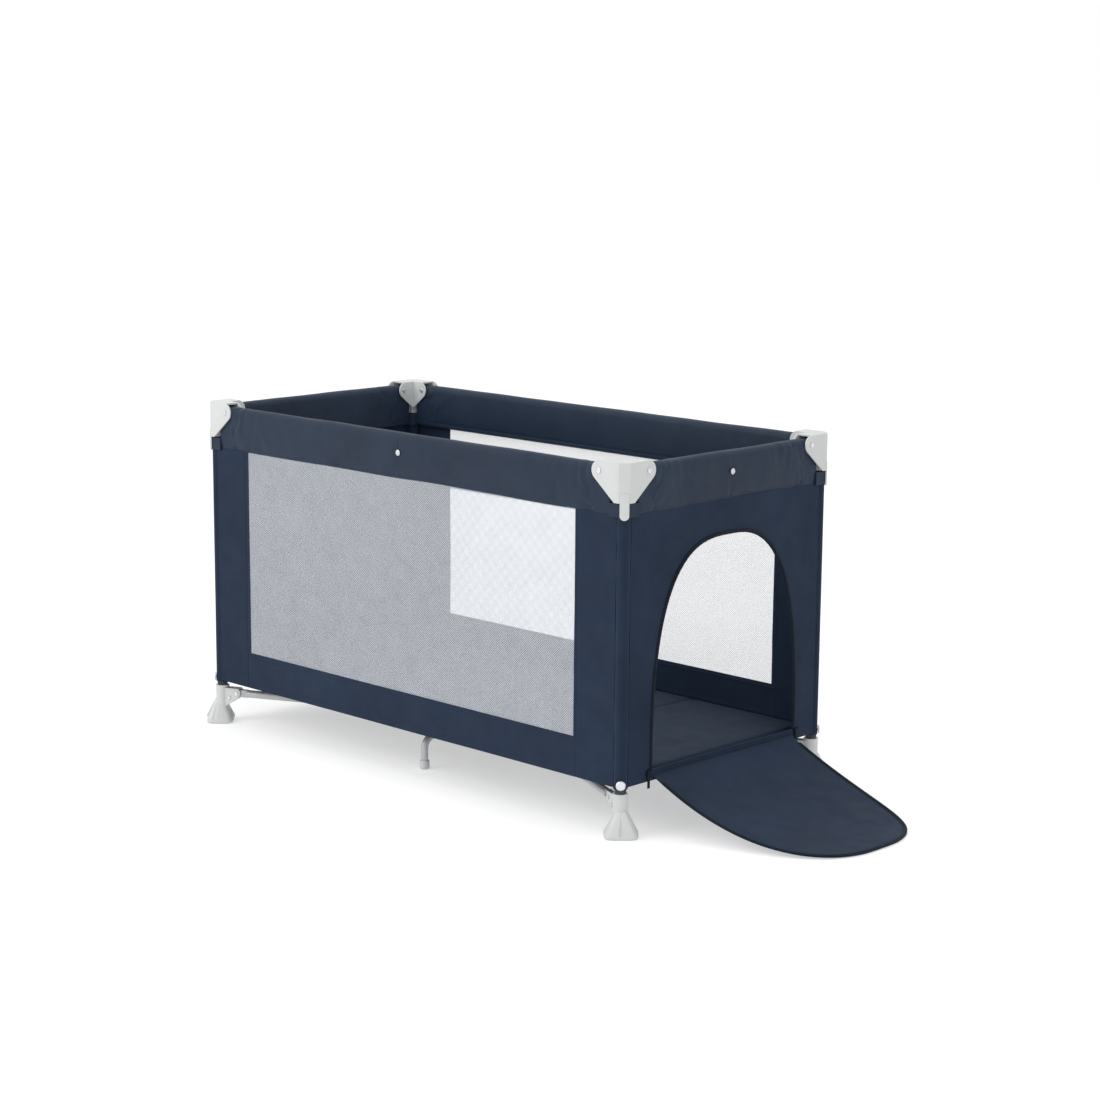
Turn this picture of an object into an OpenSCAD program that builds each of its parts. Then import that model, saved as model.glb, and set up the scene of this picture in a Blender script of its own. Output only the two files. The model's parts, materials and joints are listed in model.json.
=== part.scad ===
// Folding playpen with a roll-down side door.
// X runs along the long side, the front long wall is at -Y and the door is at +X.
// The origin is on the floor, under the middle of the pen.

/* [Overall] */
// Distance between the post axes along the long side
post_span_x = 1272; // [1000:1:1600]
// Distance between the post axes along the short side
post_span_y = 614; // [500:1:800]
// Height of the corner castings above the floor
top_h = 760; // [620:1:940]

/* [Frame tubes] */
// Outer diameter of a corner post
post_d = 24; // [20:0.5:30]
// Outer diameter of a top rail
rail_d = 20; // [16:0.5:24]
// Outer diameter of a lower arm
arm_d = 18; // [14:0.5:22]
// Outer diameter of a middle leg
leg_d = 16; // [12:0.5:20]
// Wall thickness of every tube
tube_wall = 1.5; // [1:0.1:2.5]
// Depth of the rail axis below the top of the castings
rail_drop = 20; // [17:0.5:30]
// Height of the arm axis above the floor
arm_z = 71; // [62:1:90]
// Distance of the middle legs' feet from the long centre line
leg_reach = 250; // [200:1:280]
// Bend radius of a middle leg
leg_bend = 26; // [20:1:32]

/* [Joints] */
// Distance from a post axis to each rail pivot
rail_pivot = 50; // [44:1:60]
// Distance from a post axis to the arm pivot on its foot
foot_pivot = 40; // [36:1:46]
// Half the distance between the two pivots of a short lock
short_lock_half = 16; // [14:0.5:20]
// Diameter of the rail pivot pins
rail_pin_d = 8; // [6:0.5:9]
// Diameter of the arm and leg pivot pins
arm_pin_d = 6; // [5:0.5:8]
// Radial play of a turning pin
pin_play = 0.05; // [0.03:0.01:0.1]
// Radial play at the pivot that closes each linkage
loop_play = 0.25; // [0.2:0.05:0.5]
// Side play of an eye between its cheeks
side_play = 0.5; // [0.3:0.1:1]
// Distance of the middle leg pivots from the long centre line
leg_pivot = 70; // [62:1:84]
// Width of the eye on an arm or leg
eye_w = 12; // [10:0.5:14]
// Width of the eye on a top rail
rail_eye_w = 14; // [12:0.5:15]

/* [Corner castings] */
// Reach of a casting flange from the post axis
flange_reach = 70; // [66:1:100]
// Height of the pointed flange
flange_h = 80; // [64:1:100]
// Radius of the flange's round end
flange_r = 20; // [18:1:24]
// Thickness of a flange plate
plate_t = 3; // [2:0.5:4]
// Half the clear width between the flange plates
slot_half = 17; // [15:0.5:20]
// Width of the tongue that runs down the post
tongue_w = 19; // [14:1:22]
// Size of the corner's cut, along each side
corner_cut = 17; // [10:0.5:20]
// Length of the tongue below the flanges
tongue_l = 34; // [20:1:50]

/* [Feet] */
// Diameter of a foot at the floor
foot_d = 73; // [60:1:90]
// Height of a foot's collar above the floor
foot_h = 89; // [84:1:105]
// Wall of the foot's collar around the post
collar_wall = 3.4; // [2.5:0.1:5]
// Outward offset of a foot's base
foot_splay = 6; // [0:1:10]
// Height of a foot's upright rim
foot_rim = 9; // [6:1:14]
// Height at which a foot's base has narrowed to its collar
foot_flare_top = 54; // [46:1:60]

/* [Fabric] */
// Height of the fabric's lower edge above the floor
hem_z = 102; // [98:1:110]
// Thickness of a wall panel
wall_t = 3; // [2:0.5:5]
// Distance of a wall panel's middle outside the post axes
wall_out = 10; // [8:0.5:12]
// Width of the solid border beside each net window
border_w = 121; // [80:1:200]
// Height of the net window's lower edge above the floor
window_z = 186; // [150:1:300]
// Thickness of the fabric sleeve around a post
sleeve_t = 2; // [1:0.5:3]
// Full thickness of a rail cover
cover_t = 37; // [34:1:44]
// Thickness of the padding of a rail cover
cover_pad = 3.2; // [2.5:0.1:4]
// Height of a rail cover
cover_h = 105; // [90:1:130]
// Gap between a rail cover's top and the top of the castings
cover_drop = 5; // [3:0.5:8]

/* [Door] */
// Height of the door sill above the floor
sill_z = 125; // [120:1:150]
// Width of the arched door at its sill
door_w = 452; // [300:1:500]
// Height of the door arch above the sill
door_h = 455; // [350:1:500]
// Squareness of the arch: 2 is an ellipse, and more fills its shoulders out
door_curve = 2.8; // [2:0.1:4]
// Thickness of the padded door flap
flap_t = 6; // [4:0.5:10]
// Height at which the flap hangs from the sill
flap_z = 114; // [108:1:120]
// How far the open flap reaches from its hinge
flap_run = 415; // [250:1:460]

/* [Floor] */
// Thickness of the mattress
mattress_t = 20; // [12:1:40]
// Gap between the mattress and the wall panels
mattress_gap = 14; // [8:1:30]
// Thickness of the fabric floor
floor_t = 2; // [1:0.5:3]

/* [Hardware] */
// Diameter of a press stud
stud_d = 20; // [14:1:24]
// Diameter of a rail cover's stud
cover_stud_d = 13; // [8:1:18]
// Travel of a lock's release button
button_travel = 5; // [3:0.5:8]

/* [Hidden] */
$fn = 48;
// Name of each corner, with its side along X and along Y
CORNERS = [["fl", -1, -1], ["fr", 1, -1], ["bl", -1, 1], ["br", 1, 1]];

// Clearance between soft pieces and their neighbours
soft_gap = 0.3;
post_x = post_span_x / 2;
post_y = post_span_y / 2;
rail_z = top_h - rail_drop;
// Every part of the frame folds through the same angle when the plan keeps one shape,
// which fixes the long locks and the arms from the short locks.
plan_ratio = post_x / post_y;
short_core = rail_pivot + short_lock_half;
long_core = plan_ratio * short_core;
long_lock_half = long_core - rail_pivot;
long_rail_l = post_x - long_core;
short_rail_l = post_y - short_core;
plan_r = norm([post_x, post_y]);
hub_pivot = norm([long_core, short_core]) - foot_pivot;
arm_l = plan_r - foot_pivot - hub_pivot;
arm_turn = atan2(post_y, post_x);
eye_r = arm_d / 2;
cheek_t = 4;
cheek_half = eye_w / 2 + side_play;
sleeve_r = post_d / 2 + soft_gap + sleeve_t;
collar_r = post_d / 2 + collar_wall;
cover_top = top_h - cover_drop;
cover_bottom = cover_top - cover_h;
wall_top = cover_bottom - soft_gap;
column_r = slot_half + plate_t;
lock_plate_t = 2.5;
lock_half = rail_eye_w / 2 + side_play;
lock_web_t = 2.5;
lock_web_top = rail_z - rail_d / 2 - side_play;
lock_skirt = 34;
lock_end = 9;
leg_cap_floor = 4;
leg_cap_h = 20;
leg_cap_wall = 3;
foot_floor = 8;
foot_rivet_d = 5;
foot_rivet_x = 21;
foot_rivet_z = 60;
stud_z = hem_z + 6;
floor_top = hem_z + floor_t;

// ---- helpers ----

// Places a corner piece that is drawn at the origin with the pen towards +X and +Y.
module at_corner(corner) {
    translate([corner[1] * post_x, corner[2] * post_y, 0])
        mirror([corner[1] > 0 ? 1 : 0, 0, 0])
            mirror([0, corner[2] > 0 ? 1 : 0, 0])
                children();
}

// Swaps a piece drawn along X onto the short side, so that its +X becomes +Y.
module swap_sides() {
    mirror([1, -1, 0]) children();
}

// A rod through the origin along Y.
module cross_rod(d, length) {
    rotate([90, 0, 0]) cylinder(d = d, h = length, center = true);
}

// A plate with a rounded outline.
module rounded_plate(size, radius) {
    linear_extrude(size[2]) {
        square([size[0] - 2 * radius, size[1]], center = true);
        square([size[0], size[1] - 2 * radius], center = true);
        for (x = [-1, 1], y = [-1, 1])
            translate([x * (size[0] / 2 - radius), y * (size[1] / 2 - radius)])
                circle(radius);
    }
}

// A link along +X with an eye at each end, pivots at 0 and at length.
module eyed_tube(length, d, eye_width, bore_near, bore_far, neck) {
    difference() {
        union() {
            for (x = [0, length])
                translate([x, 0, 0]) cross_rod(d, eye_width);
            for (x = [0, length - neck])
                translate([x, -eye_width / 2, -d / 2 + 0.5])
                    cube([neck, eye_width, d - 1]);
            translate([neck - 2, 0, 0])
                rotate([0, 90, 0])
                    cylinder(d = d, h = length - 2 * neck + 4);
        }
        cross_rod(bore_near, 2 * eye_width);
        translate([length, 0, 0]) cross_rod(bore_far, 2 * eye_width);
        translate([neck + 4, 0, 0])
            rotate([0, 90, 0])
                cylinder(d = d - 2 * tube_wall, h = length - 2 * neck - 8);
    }
}

// ---- centre hub and arms ----

module hub() {
    plate_z = arm_z + arm_d / 2 + 5;
    hub_t = hem_z - soft_gap - plate_z;
    cheek_l = 36;
    cheek_drop = arm_d / 2 + 4;
    color("dimgray") {
        difference() {
            translate([0, 0, plate_z])
                union() {
                    rounded_plate([2 * long_core - 8, 2 * short_core + 14, hub_t], 24);
                    rounded_plate([70, 2 * leg_pivot + 32, hub_t], 16);
                }
            translate([0, 0, plate_z - 1]) cylinder(d = 40, h = hub_t + 2);
        }
        for (corner = CORNERS)
            rotate([0, 0, atan2(corner[2] * post_y, corner[1] * post_x)])
                translate([hub_pivot, 0, arm_z])
                    hub_fork(cheek_l, cheek_drop, plate_z);
        for (side = [-1, 1])
            rotate([0, 0, side * 90])
                translate([leg_pivot, 0, arm_z])
                    hub_fork(cheek_l - 12, cheek_drop, plate_z);
    }
}

// Two cheeks that hang from the hub plate, with the pin between them.
module hub_fork(length, drop, plate_z) {
    for (side = [-1, 1])
        translate([0, side * (cheek_half + cheek_t / 2), (plate_z - arm_z + 1 - drop) / 2])
            cube([length, cheek_t, plate_z - arm_z + 1 + drop], center = true);
    cross_rod(arm_pin_d, 2 * (cheek_half + cheek_t) + 3);
}

module arm(corner) {
    color("silver")
        translate([0, 0, arm_z])
            rotate([0, 0, atan2(corner[2] * post_y, corner[1] * post_x)])
                translate([hub_pivot, 0, 0])
                    eyed_tube(arm_l, arm_d, eye_w, arm_pin_d + 2 * pin_play,
                              arm_pin_d + 2 * pin_play, 26);
}

// The tube of a middle leg: out from the hub, round a bend and down.
module leg(side) {
    straight = leg_reach - leg_pivot - leg_bend;
    color("silver")
        rotate([0, 0, side * 90])
            translate([leg_pivot, 0, arm_z])
                difference() {
                    union() {
                        cross_rod(arm_d, eye_w);
                        translate([0, -eye_w / 2, -leg_d / 2 + 0.5])
                            cube([24, eye_w, leg_d - 1]);
                        translate([22, 0, 0])
                            rotate([0, 90, 0])
                                cylinder(d = leg_d, h = straight - 22);
                        translate([straight, 0, -leg_bend])
                            rotate([90, 0, 0])
                                rotate_extrude(angle = 90)
                                    translate([leg_bend, 0]) circle(d = leg_d);
                        translate([straight + leg_bend, 0, leg_cap_floor - arm_z])
                            cylinder(d = leg_d, h = arm_z - leg_bend - leg_cap_floor);
                    }
                    cross_rod(arm_pin_d + 2 * pin_play, 2 * eye_w);
                }
}

// The rubber cap on a middle leg's foot.
module leg_cap(side) {
    color("gainsboro")
        rotate([0, 0, side * 90])
            translate([leg_reach, 0, 0])
                difference() {
                    rotate_extrude()
                        polygon([[0, 0], [leg_d / 2 + 1, 0], [leg_d / 2 + leg_cap_wall, 3],
                                 [leg_d / 2 + leg_cap_wall, leg_cap_h - 3],
                                 [leg_d / 2 + 1.5, leg_cap_h], [0, leg_cap_h]]);
                    translate([0, 0, leg_cap_floor]) cylinder(d = leg_d, h = leg_cap_h);
                }
}

// ---- corners ----

module post(corner) {
    color("#3a3f47")
        at_corner(corner)
            difference() {
                translate([0, 0, foot_floor])
                    cylinder(d = post_d, h = rail_z - rail_d / 2 - foot_floor);
                translate([0, 0, foot_floor - 1])
                    cylinder(d = post_d - 2 * tube_wall, h = top_h);
                rotate([0, 0, 45])
                    translate([0, 0, stud_z])
                        rotate([0, -90, 0]) cylinder(d = stud_shank, h = post_d);
            }
}

module foot(corner) {
    color("gainsboro")
        at_corner(corner)
            difference() {
                union() {
                    rotate([0, 0, arm_turn]) {
                        foot_ear();
                        translate([-foot_splay, 0, 0]) foot_flare();
                    }
                    cylinder(r = collar_r, h = foot_h);
                    translate([0, 0, foot_h - 3])
                        cylinder(r = collar_r + 0.8, h = 2);
                }
                translate([0, 0, foot_floor]) cylinder(d = post_d, h = top_h);
                rotate([0, 0, arm_turn]) {
                    translate([foot_pivot, 0, arm_z])
                        cross_rod(arm_pin_d, 60);
                    translate([foot_rivet_x, 0, foot_rivet_z])
                        cross_rod(foot_rivet_d, 60);
                    translate([collar_r + 1.5, -cheek_half, 0])
                        cube([60, 2 * cheek_half, top_h]);
                }
            }
}

// The spreading base of a foot: a straight cone on an upright rim with soft edges.
module foot_flare() {
    side = foot_d / 2;
    rotate_extrude($fn = 96)
        polygon([[0, 0], [side - 5, 0], [side - 1.5, 1.5], [side, 5], [side - 0.5, foot_rim],
                 [collar_r - 3, foot_flare_top], [0, foot_flare_top]]);
}

// The fork on a foot that holds the arm, drawn along +X.
module foot_ear() {
    ear_low = arm_z - arm_d / 2 - 13;
    ear_high = arm_z + arm_d / 2 + 3;
    half = cheek_half + cheek_t;
    translate([0, half, 0])
        rotate([90, 0, 0])
            linear_extrude(2 * half) {
                polygon([[0, ear_low - 16], [foot_pivot - 12, ear_low],
                         [foot_pivot + 4, arm_z - arm_d / 2 - 2],
                         [foot_pivot + eye_r, arm_z - 2],
                         [foot_pivot + eye_r, ear_high - 5],
                         [foot_pivot + 4, ear_high], [0, ear_high]]);
            }
}

// One pointed flange, drawn in the XZ plane and thick towards +Y from the origin.
module flange(reach, height) {
    round_x = reach - flange_r;
    round_z = -flange_r;
    tip = [tongue_w / 2, -height];
    to_tip = tip - [round_x, round_z];
    // The lower edge leaves the round end as a tangent
    tangent = atan2(to_tip[1], to_tip[0]) + acos(flange_r / norm(to_tip));
    translate([0, plate_t, top_h])
        rotate([90, 0, 0])
            linear_extrude(plate_t) {
                translate([round_x, round_z]) circle(flange_r, $fn = 96);
                polygon([[0, 0], [round_x, 0],
                         [round_x + flange_r * cos(tangent), round_z + flange_r * sin(tangent)],
                         tip, [0, -height]]);
            }
}

module casting(corner) {
    inner_reach = flange_reach - 6;
    inner_h = flange_h - 6;
    roof_t = 3.5;
    roof_half = slot_half + 1;
    color("gainsboro")
        at_corner(corner)
            difference() {
                union() {
                    // Outer flanges and the rounded column that joins them
                    for (turn = [0, 1])
                        mirror([turn, -turn, 0])
                            translate([0, -slot_half - plate_t, 0])
                                flange(flange_reach, flange_h);
                    translate([0, 0, top_h - flange_h])
                        linear_extrude(flange_h)
                            polygon([[-column_r, 0], [-column_r, corner_cut - column_r],
                                     [corner_cut - column_r, -column_r], [0, -column_r], [0, 0]]);
                    translate([0, 0, top_h - flange_h])
                        cylinder(d = post_d + 5, h = flange_h - roof_t);
                    // Inner flanges
                    for (turn = [0, 1])
                        mirror([turn, -turn, 0])
                            intersection() {
                                translate([0, slot_half, 0]) flange(inner_reach, inner_h);
                                translate([slot_half, 0, 0]) cube([200, 100, 2 * top_h]);
                            }
                    // Roof
                    for (turn = [0, 1])
                        mirror([turn, -turn, 0])
                            translate([0, 0, top_h - roof_t])
                                linear_extrude(roof_t)
                                    polygon([[-roof_half, corner_cut - column_r],
                                             [corner_cut - column_r, -roof_half],
                                             [flange_reach - flange_r, -roof_half],
                                             [flange_reach - flange_r, roof_half],
                                             [-roof_half, roof_half]]);
                    // Tongue down the outside of the post
                    rotate([0, 0, 45])
                        translate([-sleeve_r - soft_gap - plate_t, 0, 0])
                            tongue();
                }
                translate([0, 0, top_h - flange_h - 1])
                    cylinder(d = post_d, h = rail_z - rail_d / 2 - top_h + flange_h + 1);
                for (turn = [0, 1])
                    mirror([turn, -turn, 0])
                        translate([rail_pivot, 0, rail_z]) cross_rod(rail_pin_d, 100);
            }
}

// The tongue is a flat bar with a round lower end, thick towards +X.
module tongue() {
    low = top_h - flange_h - tongue_l;
    rotate([90, 0, 90])
        linear_extrude(plate_t) {
            translate([-tongue_w / 2, low + tongue_w / 2])
                square([tongue_w, tongue_l + 10]);
            translate([0, low + tongue_w / 2]) circle(d = tongue_w);
        }
}

// The fabric sleeve that wraps a post between its foot and its casting.
module sleeve(corner) {
    color("midnightblue")
        at_corner(corner)
            difference() {
                translate([0, 0, hem_z - 4])
                    cylinder(r = sleeve_r, h = top_h - flange_h - hem_z + 4 - soft_gap);
                translate([0, 0, 0])
                    cylinder(r = sleeve_r - sleeve_t, h = top_h);
                // The stud's shank goes through the sleeve
                rotate([0, 0, 45])
                    translate([0, 0, stud_z])
                        rotate([0, -90, 0]) cylinder(d = stud_shank + 2 * soft_gap, h = 60);
            }
}

stud_shank = 5;
stud_cap_t = 3.5;

// Pivot pins with their heads, the foot's pin and rivet, and the stud that holds the fabric.
module fasteners(corner) {
    head_t = 1.8;
    color("white")
        at_corner(corner) {
            for (turn = [0, 1])
                mirror([turn, -turn, 0])
                    translate([rail_pivot, 0, rail_z]) {
                        cross_rod(rail_pin_d, 2 * (slot_half + plate_t));
                        for (side = [-1, 1])
                            translate([0, side * (slot_half + plate_t + head_t / 2), 0])
                                cross_rod(rail_pin_d + 3, head_t);
                    }
            rotate([0, 0, arm_turn]) {
                translate([foot_pivot, 0, arm_z])
                    pin_with_heads(arm_pin_d, head_t);
                translate([foot_rivet_x, 0, foot_rivet_z])
                    pin_with_heads(foot_rivet_d, head_t);
            }
            rotate([0, 0, 45])
                translate([0, 0, stud_z])
                    rotate([0, -90, 0]) {
                        translate([0, 0, post_d / 2 - tube_wall])
                            cylinder(d = stud_shank, h = sleeve_r + soft_gap + 1 - post_d / 2 + tube_wall);
                        translate([0, 0, sleeve_r + soft_gap])
                            rotate_extrude()
                                polygon([[0, 0], [stud_d / 2, 0], [stud_d / 2, 1.2],
                                         [stud_d / 2 - 2.5, stud_cap_t], [0, stud_cap_t]]);
                    }
        }
}

module pin_with_heads(d, head_t) {
    half = cheek_half + cheek_t;
    cross_rod(d, 2 * half);
    for (side = [-1, 1])
        translate([0, side * (half + head_t / 2), 0])
            cross_rod(d + 3, head_t);
}

// ---- top rails ----

module long_rail(corner) {
    color("silver")
        at_corner(corner)
            translate([rail_pivot, 0, rail_z])
                eyed_tube(long_rail_l, rail_d, rail_eye_w, rail_pin_d + 2 * pin_play,
                          rail_pin_d + 2 * (corner[1] < 0 ? pin_play : loop_play), 24);
}

module short_rail(corner) {
    color("silver")
        at_corner(corner)
            swap_sides()
                translate([rail_pivot, 0, rail_z])
                    eyed_tube(short_rail_l, rail_d, rail_eye_w, rail_pin_d + 2 * pin_play,
                              rail_pin_d + 2 * (corner[2] < 0 ? pin_play : loop_play), 24);
}

// A centre lock, drawn along X at the origin: a channel that is open at the top,
// with a pivot pin at each end and a skirt that holds the release button.
module lock(half_l) {
    full = 2 * (half_l + lock_end);
    low = rail_z - lock_skirt;
    high = rail_z + rail_pin_d / 2 + 3;
    color("dimgray") {
        difference() {
            for (side = [-1, 1])
                translate([0, side * (lock_half + lock_plate_t / 2), (high + low) / 2])
                    cube([full, lock_plate_t, high - low], center = true);
            // Bore for the cover's stud
            translate([0, 0, cover_stud_z]) cross_rod(cover_stud_shank, 100);
        }
        difference() {
            translate([0, 0, lock_web_top - lock_web_t / 2])
                cube([full, 2 * lock_half + 1, lock_web_t], center = true);
            translate([0, 0, rail_z - lock_skirt])
                cylinder(d = button_stem_d + 2 * pin_play, h = lock_skirt);
        }
        for (x = [-1, 1])
            translate([x * half_l, 0, rail_z])
                cross_rod(rail_pin_d, 2 * lock_half + 2 * lock_plate_t);
        // Stud outside the cover, on the outer side
        translate([0, -lock_half, cover_stud_z])
            rotate([90, 0, 0]) {
                cylinder(d = cover_stud_shank, h = cover_t / 2 - lock_half + soft_gap + 1);
                translate([0, 0, cover_t / 2 + soft_gap - lock_half])
                    rotate_extrude()
                        polygon([[0, 0], [cover_stud_d / 2, 0], [cover_stud_d / 2, 0.8],
                                 [cover_stud_d / 2 - 2, 2.4], [0, 2.4]]);
            }
    }
}

cover_stud_shank = 4;
cover_stud_z = rail_z - 29;
button_stem_d = 8;
button_head_d = 2 * lock_half - 1.5;
button_head_t = 6;

// The sprung button of a lock: a stem through the web and a head under it.
module button(at) {
    head_top = lock_web_top - lock_web_t - button_travel - 1;
    color("orangered")
        translate([at[0], at[1], 0]) {
            translate([0, 0, head_top - button_head_t])
                cylinder(d = button_head_d, h = button_head_t);
            translate([0, 0, head_top - 1])
                cylinder(d = button_stem_d, h = button_travel + lock_web_t + 4);
        }
}

// A rail cover along X: a padded tube that is thinner where it tucks into the castings.
module cover(span) {
    full_l = 2 * (span / 2 - flange_reach) - 2 * soft_gap;
    tuck_l = 2 * (span / 2 - column_r - 4);
    tuck_half = slot_half - soft_gap - 0.2;
    tuck_top = rail_z - rail_d / 2 - 4;
    color("midnightblue")
        difference() {
            union() {
                rotate([90, 0, 90])
                    translate([0, 0, -full_l / 2])
                        linear_extrude(full_l) cover_outline(cover_t / 2, cover_top);
                rotate([90, 0, 90])
                    translate([0, 0, -tuck_l / 2])
                        linear_extrude(tuck_l)
                            translate([-tuck_half, cover_bottom])
                                square([2 * tuck_half, tuck_top - cover_bottom]);
            }
            rotate([90, 0, 90])
                translate([0, 0, -full_l / 2 - 1])
                    linear_extrude(full_l + 2)
                        cover_outline(cover_t / 2 - cover_pad, cover_top - cover_pad,
                                      cover_bottom + cover_pad);
            rotate([90, 0, 90])
                translate([0, 0, -tuck_l / 2 - 1])
                    linear_extrude(tuck_l + 2)
                        translate([-tuck_half + cover_pad, cover_bottom + cover_pad])
                            square([2 * (tuck_half - cover_pad), tuck_top - cover_bottom]);
            // Hole for the stud's shank
            translate([0, -cover_t / 2, cover_stud_z])
                cross_rod(cover_stud_shank + 2 * soft_gap, 5 * cover_pad);
        }
}

// Cross-section of a rail cover: round over the rail, and narrower at the bottom.
module cover_outline(half, top, bottom = cover_bottom) {
    narrow = half - 5;
    translate([0, top - half]) circle(half, $fn = 96);
    polygon([[-half, top - half], [-narrow, bottom], [narrow, bottom], [half, top - half]]);
}

// ---- walls ----

// Half length of a wall between the sleeves
function wall_half(span) = span / 2 - sqrt(pow(sleeve_r, 2) - pow(wall_out - wall_t / 2, 2)) - soft_gap;

// The solid border of a long wall, with its window open.
module border(side) {
    half = wall_half(post_span_x);
    window = post_span_x / 2 - border_w;
    color("midnightblue")
        translate([0, side * (post_y + wall_out), 0])
            rotate([90, 0, 0])
                translate([0, 0, -wall_t / 2])
                    linear_extrude(wall_t)
                        difference() {
                            translate([-half, hem_z]) square([2 * half, wall_top - hem_z]);
                            translate([-window, window_z])
                                square([2 * window, wall_top - window_z + 1]);
                        }
}

// The net in a long wall's window.
module net(side) {
    window = post_span_x / 2 - border_w;
    net_t = 1;
    color("lightsteelblue")
        translate([0, side * (post_y + wall_out), 0])
            translate([-window, -net_t / 2, window_z])
                cube([2 * window, net_t, wall_top - window_z]);
}

module left_wall() {
    half = wall_half(post_span_y);
    color("midnightblue")
        translate([-post_x - wall_out - wall_t / 2, -half, hem_z])
            cube([wall_t, 2 * half, wall_top - hem_z]);
}

// Outline of the door: half a superellipse, standing on the sill.
arch_steps = 48;
function rounded_share(share) = sign(share) * pow(abs(share), 2 / door_curve);
function arch(half_w, full_h) = [
    for (i = [0 : arch_steps])
        let (turn = 180 * i / arch_steps)
        [half_w * rounded_share(cos(turn)), full_h * rounded_share(sin(turn))]
];

module door_wall() {
    half = wall_half(post_span_y);
    color("midnightblue")
        translate([post_x + wall_out - wall_t / 2, 0, 0])
            rotate([90, 0, 90])
                linear_extrude(wall_t)
                    difference() {
                        translate([-half, hem_z]) square([2 * half, wall_top - hem_z]);
                        translate([0, sill_z]) polygon(arch(door_w / 2, door_h));
                    }
}

// Height of the open flap's underside at a distance from its hinge: it hangs from the
// sill and eases onto the floor.
flap_steps = 18;
flap_edge_gap = 2;
flap_floor_gap = 0.6;
function flap_under(run) =
    (flap_z - flap_t - flap_floor_gap) * pow(1 - run / flap_run, 2) + flap_floor_gap;

flap_x = post_x + wall_out + wall_t / 2 + soft_gap;

// The open door flap: its sagging profile, cut to the arch in plan.
module door_flap() {
    under = [for (i = [0 : flap_steps]) let (run = flap_run * i / flap_steps) [run, flap_under(run)]];
    over = [for (i = [flap_steps : -1 : 0]) [under[i][0], under[i][1] + flap_t]];
    color("midnightblue")
        translate([flap_x, 0, 0])
            intersection() {
                translate([0, door_w, 0])
                    rotate([90, 0, 0])
                        linear_extrude(2 * door_w) polygon(concat(under, over));
                rotate([0, 0, -90])
                    linear_extrude(top_h)
                        polygon(arch(door_w / 2 - flap_edge_gap, flap_run));
            }
}

// A slider at a lower end of the door's zip, with its pull tape.
module zip_slider(side) {
    slider = [5, 12, 16];
    pull = [2, 6, 30];
    below_hem = 14;
    color("dimgray")
        translate([post_x + wall_out + wall_t / 2, side * (door_w / 2 + slider[1]), hem_z - below_hem]) {
            translate([0, -slider[1] / 2, pull[2] - 8]) cube(slider);
            translate([1.5, -pull[1] / 2, 0]) cube(pull);
        }
}

// ---- floor ----

// The floor is sewn to the walls and cut round the posts.
module floor_sheet() {
    reach = wall_out - wall_t / 2 - soft_gap;
    size_x = post_span_x + 2 * reach;
    size_y = post_span_y + 2 * reach;
    color("midnightblue")
        difference() {
            translate([-size_x / 2, -size_y / 2, hem_z]) cube([size_x, size_y, floor_t]);
            for (corner = CORNERS)
                translate([corner[1] * post_x, corner[2] * post_y, 0])
                    cylinder(r = sleeve_r + soft_gap, h = top_h);
        }
}

module mattress() {
    size_x = post_span_x - 2 * mattress_gap;
    size_y = post_span_y - 2 * mattress_gap;
    corner_r = 22;
    color("midnightblue")
        translate([0, 0, floor_top + soft_gap])
            rounded_plate([size_x, size_y, mattress_t], corner_r);
}

// ---- the pieces by name ----

hub();
floor_sheet();
mattress();
for (corner = CORNERS) {
    arm(corner);
    post(corner);
    foot(corner);
    casting(corner);
    sleeve(corner);
    fasteners(corner);
    long_rail(corner);
    short_rail(corner);
}
translate([0, -post_y, 0]) lock(long_lock_half);  // lock_front
translate([0, post_y, 0]) rotate([0, 0, 180]) lock(long_lock_half);  // lock_back
translate([-post_x, 0, 0]) rotate([0, 0, -90]) lock(short_lock_half);  // lock_left
translate([post_x, 0, 0]) rotate([0, 0, 90]) lock(short_lock_half);  // lock_right
button([0, -post_y]);  // button_front
button([0, post_y]);  // button_back
button([-post_x, 0]);  // button_left
button([post_x, 0]);  // button_right
translate([0, -post_y, 0]) cover(post_span_x);  // cover_front
translate([0, post_y, 0]) rotate([0, 0, 180]) cover(post_span_x);  // cover_back
translate([-post_x, 0, 0]) rotate([0, 0, -90]) cover(post_span_y);  // cover_left
translate([post_x, 0, 0]) rotate([0, 0, 90]) cover(post_span_y);  // cover_right
leg(-1);  // leg_front
leg(1);  // leg_back
leg_cap(-1);  // leg_cap_front
leg_cap(1);  // leg_cap_back
border(-1);  // front_border
net(-1);  // front_net
border(1);  // back_border
net(1);  // back_net
left_wall();
door_wall();
door_flap();
zip_slider(-1);  // zip_slider_front
zip_slider(1);  // zip_slider_back
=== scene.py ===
"""Looks of the folding playpen: fabric, net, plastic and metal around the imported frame."""
import json
import math

import bmesh
import bpy
import numpy as np
from mathutils import Matrix, Vector, noise


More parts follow.
